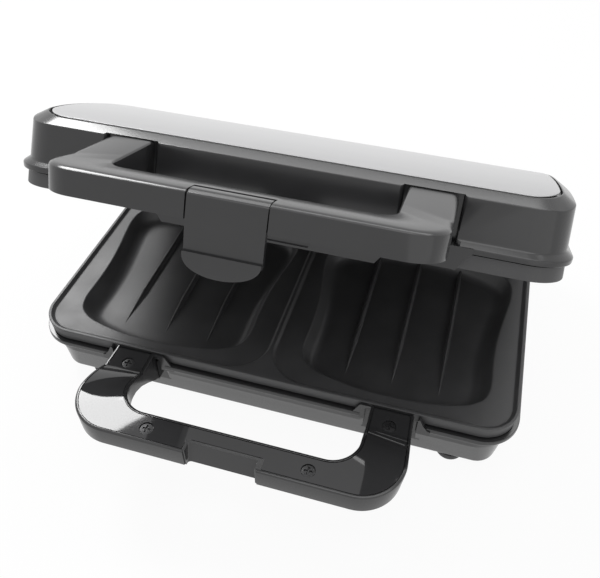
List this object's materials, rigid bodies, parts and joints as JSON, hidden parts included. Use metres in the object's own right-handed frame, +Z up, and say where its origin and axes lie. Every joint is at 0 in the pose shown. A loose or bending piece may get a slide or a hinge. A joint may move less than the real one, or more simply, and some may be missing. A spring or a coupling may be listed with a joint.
{
  "type": "sandwich maker",
  "caption": "Countertop sandwich maker with deep shell pockets, a hinged lid with a pale panel, U handles and a swinging latch clip.",
  "frame": {"origin": "middle of the object's box in plan, on the surface that it stands on", "axes": "+X to the user's right, +Y to the hinge at the back, +Z up"},
  "size_m": [0.2642, 0.2584, 0.1721],
  "materials": {
    "housing_plastic": "fine moulded satin, dark grey",
    "cover_plastic": "moulded matt black",
    "gloss_trim": "polished black",
    "nonstick_plate": "dark non-stick coating over a casting",
    "satin_panel": "pale satin",
    "rubber": "matt black",
    "block_ceramic": "cream moulded block",
    "thermostat_resin": "black moulded",
    "fuse_sleeve": "white sleeve",
    "wire_brown": "brown insulation",
    "wire_blue": "blue insulation",
    "wire_green": "green insulation with a yellow stripe",
    "shield_aluminium": "bright sheet",
    "element_steel": "dull steel sheath",
    "screw_steel": "zinc plated",
    "dark_screw": "blackened steel"
  },
  "bodies": {
    "base": {"base_housing": "housing_plastic", "base_bottom_cover": "cover_plastic", "lower_grill_plate": "nonstick_plate", "lower_handle_insert": "gloss_trim", "lower_handle_screw_1": "dark_screw", "lower_handle_screw_2": "dark_screw", "lower_handle_screw_3": "dark_screw", "lower_handle_screw_4": "dark_screw", "lower_heating_element": "element_steel", "lower_element_clamp_left": "element_steel", "lower_element_clamp_right": "element_steel", "lower_heat_shield": "shield_aluminium", "thermostat": "thermostat_resin", "thermal_fuse": "fuse_sleeve", "terminal_block": "block_ceramic", "wire_neutral": "wire_blue", "wire_earth": "wire_green", "wire_live": "wire_brown", "wire_link": "wire_brown", "cord_gland": "rubber", "foot_1": "rubber", "foot_2": "rubber", "foot_3": "rubber", "foot_4": "rubber", "cover_screw_1": "screw_steel", "cover_screw_2": "screw_steel", "cover_screw_3": "screw_steel", "cover_screw_4": "screw_steel", "lower_plate_screw_1": "screw_steel", "lower_plate_screw_2": "screw_steel", "lower_plate_screw_3": "screw_steel", "lower_plate_screw_4": "screw_steel", "hinge_pin_left": "screw_steel", "hinge_pin_right": "screw_steel"},
    "lid": {"lid_housing": "housing_plastic", "lid_top_panel": "satin_panel", "lid_handle_insert": "gloss_trim", "lid_handle_screw_1": "dark_screw", "lid_handle_screw_2": "dark_screw", "lid_handle_screw_3": "dark_screw", "lid_handle_screw_4": "dark_screw", "upper_grill_plate": "nonstick_plate", "upper_heating_element": "element_steel", "upper_element_clamp_left": "element_steel", "upper_element_clamp_right": "element_steel", "upper_heat_shield": "shield_aluminium", "upper_plate_screw_1": "screw_steel", "upper_plate_screw_2": "screw_steel", "upper_plate_screw_3": "screw_steel", "upper_plate_screw_4": "screw_steel", "latch_pin": "screw_steel"},
    "latch": {"latch_clip": "housing_plastic"}
  },
  "joints": [
    {"name": "lid_hinge", "type": "hinge", "parent": "base", "child": "lid", "pos_m": [0, 0.12188, 0.0406], "axis": [-1, 0, 0], "range_deg": [-24.87, 75]},
    {"name": "latch_hinge", "type": "hinge", "parent": "lid", "child": "latch", "pos_m": [0, -0.08929, 0.16759], "axis": [-1, 0, 0], "range_deg": [0, 32]}
  ]
}
